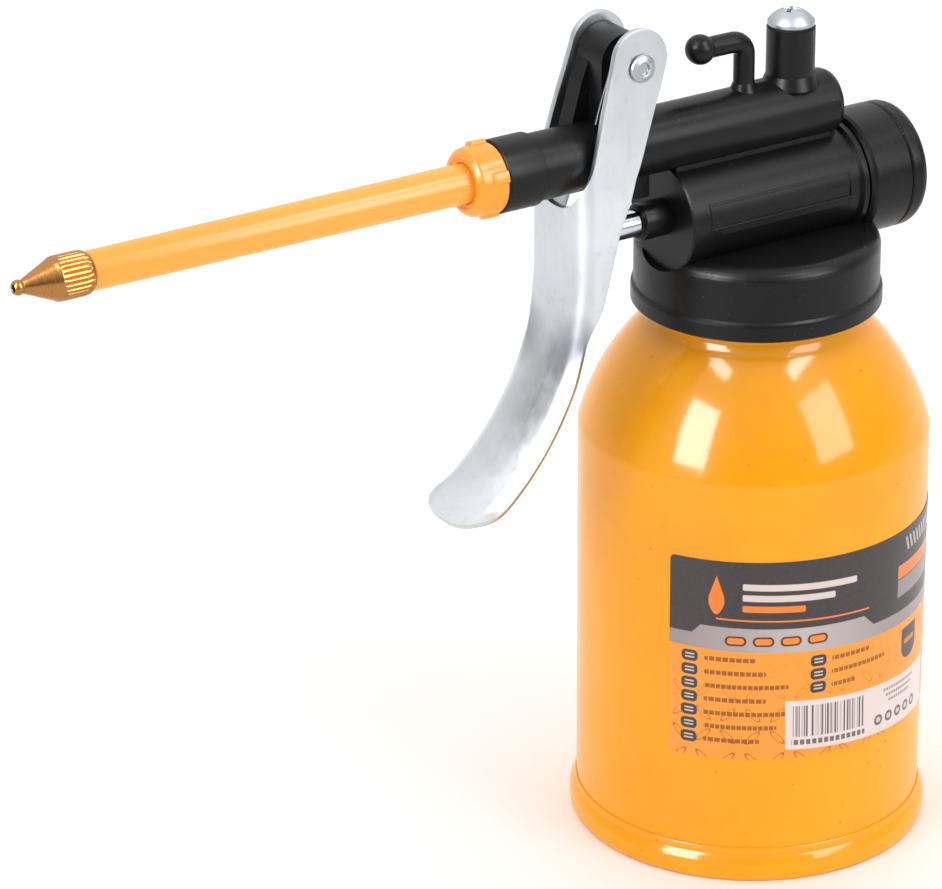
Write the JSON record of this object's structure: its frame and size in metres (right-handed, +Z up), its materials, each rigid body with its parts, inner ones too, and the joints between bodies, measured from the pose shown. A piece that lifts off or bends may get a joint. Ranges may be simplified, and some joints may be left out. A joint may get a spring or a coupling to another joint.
{
  "type": "oil can",
  "caption": "Hand-pumped oil can: a domed metal bottle with a screw-on pump head, squeeze lever, straight spout and brass nozzle, and a hook to hang it by.",
  "frame": {"origin": "centre of the can's foot, on the surface that the can stands on", "axes": "+Z up along the can's axis, -X along the spout towards its nozzle, XZ the plane of symmetry"},
  "size_m": [0.179, 0.0654, 0.1573],
  "materials": {
    "can_paint": "glossy yellow-orange enamel over drawn sheet",
    "label_paper": "semi-gloss printed film: charcoal band over orange, no wording",
    "seal_foam": "soft white ring",
    "black_plastic": "semi-gloss black moulding",
    "black_rubber": "matt black",
    "zinc_steel": "bright zinc plate",
    "spring_steel": "drawn wire",
    "ball_steel": "polished",
    "rod_steel": "polished rod",
    "natural_plastic": "natural polyethylene",
    "nut_plastic": "glossy orange moulding",
    "spout_plastic": "slightly see-through orange tube",
    "nozzle_brass": "turned brass with axial flutes",
    "lever_zinc": "zinc-plated pressed sheet"
  },
  "bodies": {
    "can": {"can_body": "can_paint", "can_base": "can_paint", "can_label": "label_paper"},
    "gasket": {"neck_seal": "seal_foam"},
    "head": {"pump_body": "black_plastic", "rear_cap": "black_plastic", "rear_cap_seal": "black_rubber", "outlet_valve_screw": "zinc_steel", "valve_screw_washer": "black_rubber", "outlet_valve_spring": "spring_steel", "inlet_valve_seat": "black_plastic", "dip_tube": "natural_plastic", "suction_strainer": "natural_plastic", "rod_gland": "black_plastic", "rod_seal": "black_rubber", "spout_adaptor": "black_plastic", "lever_spring": "spring_steel", "return_spring": "spring_steel"},
    "outlet_ball": {"outlet_valve_ball": "ball_steel"},
    "inlet_ball": {"inlet_valve_ball": "ball_steel"},
    "spout": {"spout_tube": "spout_plastic", "spout_gasket": "black_rubber", "nozzle_tip": "nozzle_brass"},
    "nut": {"union_nut": "nut_plastic"},
    "lever": {"trigger_lever": "lever_zinc", "pivot_rivet": "zinc_steel"},
    "piston": {"piston_rod": "rod_steel", "piston_head": "natural_plastic", "piston_seal": "black_rubber", "piston_nut": "zinc_steel"}
  },
  "joints": [
    {"name": "head_rise", "type": "slide", "parent": "can", "child": "gasket", "axis": [0, 0, 1], "range_m": [0, 0.0075]},
    {"name": "head_turn", "type": "hinge", "parent": "gasket", "child": "head", "pos_m": [0, 0, 0.11], "axis": [0, 0, 1], "range_deg": [0, 900]},
    {"name": "trigger_pivot", "type": "hinge", "parent": "head", "child": "lever", "pos_m": [-0.0302, 0, 0.1506], "axis": [0, -1, 0], "range_deg": [0, 16], "stiffness_Nm_per_rad": 0.2, "springref_deg": -28.65, "deforming": ["lever_spring"]},
    {"name": "piston_slide", "type": "slide", "parent": "head", "child": "piston", "axis": [1, 0, 0], "range_m": [0, 0.0086], "deforming": ["return_spring"]},
    {"name": "outlet_ball_lift", "type": "slide", "parent": "head", "child": "outlet_ball", "axis": [0, 0, 1], "range_m": [0, 0.0012], "stiffness_N_per_m": 30, "springref_m": -0.003, "deforming": ["outlet_valve_spring"]},
    {"name": "inlet_ball_lift", "type": "slide", "parent": "head", "child": "inlet_ball", "axis": [0, 0, 1], "range_m": [0, 0.001]},
    {"name": "spout_slide", "type": "slide", "parent": "head", "child": "spout", "axis": [-1, 0, 0], "range_m": [0, 0.003]},
    {"name": "nut_turn", "type": "hinge", "parent": "spout", "child": "nut", "pos_m": [-0.059, 0, 0.1343], "axis": [-1, 0, 0], "range_deg": [0, 720]}
  ],
  "couplings": [
    {"joint": "head_rise", "follows": "head_turn", "m_per_rad": 0.000477},
    {"joint": "piston_slide", "follows": "trigger_pivot", "m_per_rad": 0.0305},
    {"joint": "nut_turn", "follows": "spout_slide", "rad_per_m": 4188.8}
  ]
}
